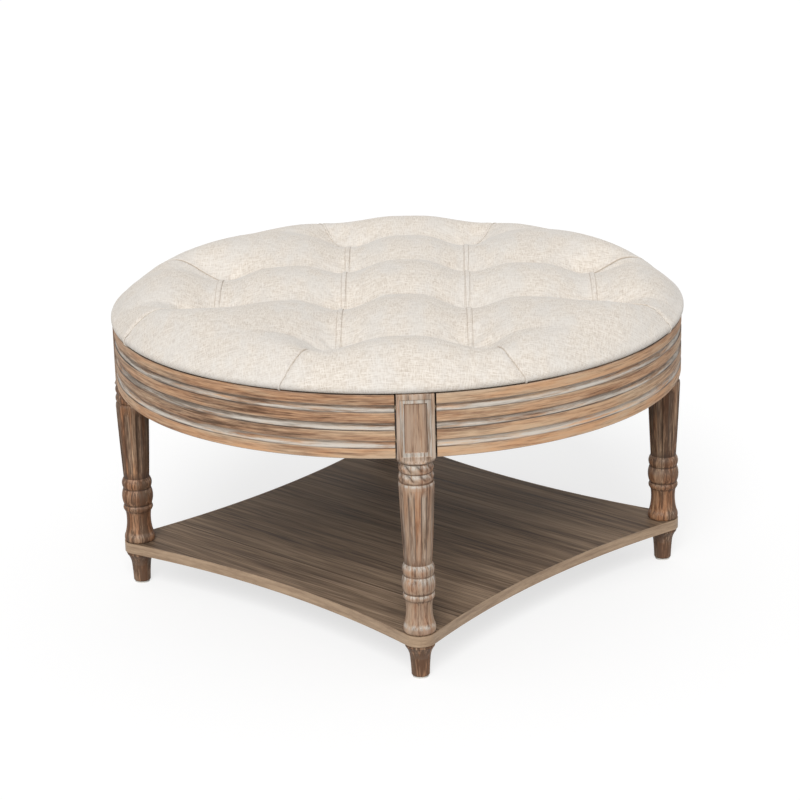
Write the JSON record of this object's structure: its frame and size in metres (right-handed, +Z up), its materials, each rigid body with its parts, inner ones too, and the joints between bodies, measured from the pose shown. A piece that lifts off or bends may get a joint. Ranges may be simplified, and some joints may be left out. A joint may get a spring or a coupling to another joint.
{
  "type": "ottoman coffee table",
  "caption": "Round tufted ottoman coffee table: linen cushion on a fluted wooden apron, turned and fluted corner legs, low concave-sided shelf and turned feet.",
  "frame": {"origin": "on the floor, under the middle of the round seat", "axes": "+Z up along the seat's axis; the legs stand on the diagonals between X and Y; the shelf's grain runs along X"},
  "size_m": [0.7998, 0.7998, 0.4699],
  "materials": {
    "linen": "cream linen weave, matt",
    "foam": "open-cell foam, matt",
    "twine": "waxed twine",
    "board_ply": "bare plywood",
    "dust_cloth": "black non-woven cloth",
    "carved_wood": "brown stain with a worn grey-white wash in the carving",
    "shelf_wood": "dark brown stain, satin, straight grain",
    "edge_band": "lighter brown edge, satin",
    "foot_wood": "brown stain with a worn grey-white wash",
    "hidden_wood": "bare softwood",
    "steel": "zinc plated",
    "glide_felt": "off-white nail-on glide"
  },
  "bodies": {
    "root": {"seat_cover": "linen", "seat_foam": "foam", "tuft_ties": "twine", "seat_board": "board_ply", "dust_cover": "dust_cloth", "apron_front_left": "carved_wood", "apron_front_right": "carved_wood", "apron_back_right": "carved_wood", "apron_back_left": "carved_wood", "leg_front": "carved_wood", "leg_right": "carved_wood", "leg_back": "carved_wood", "leg_left": "carved_wood", "shelf_board_front": "shelf_wood", "shelf_board_middle": "shelf_wood", "shelf_board_back": "shelf_wood", "shelf_edge_front_left": "edge_band", "shelf_edge_front_right": "edge_band", "shelf_edge_back_right": "edge_band", "shelf_edge_back_left": "edge_band", "foot_front": "foot_wood", "foot_right": "foot_wood", "foot_back": "foot_wood", "foot_left": "foot_wood", "corner_brace_front": "hidden_wood", "corner_brace_right": "hidden_wood", "corner_brace_back": "hidden_wood", "corner_brace_left": "hidden_wood", "support_rail_lower": "hidden_wood", "support_rail_upper": "hidden_wood", "apron_dowels": "hidden_wood", "shelf_dowels": "hidden_wood", "cover_staples": "steel", "dust_cover_staples": "steel", "seat_screws": "steel", "brace_screws": "steel", "leg_bolts": "steel", "leg_washers": "steel", "leg_nuts": "steel", "foot_screws": "steel", "glide_front": "glide_felt", "glide_right": "glide_felt", "glide_back": "glide_felt", "glide_left": "glide_felt"}
  },
  "joints": []
}
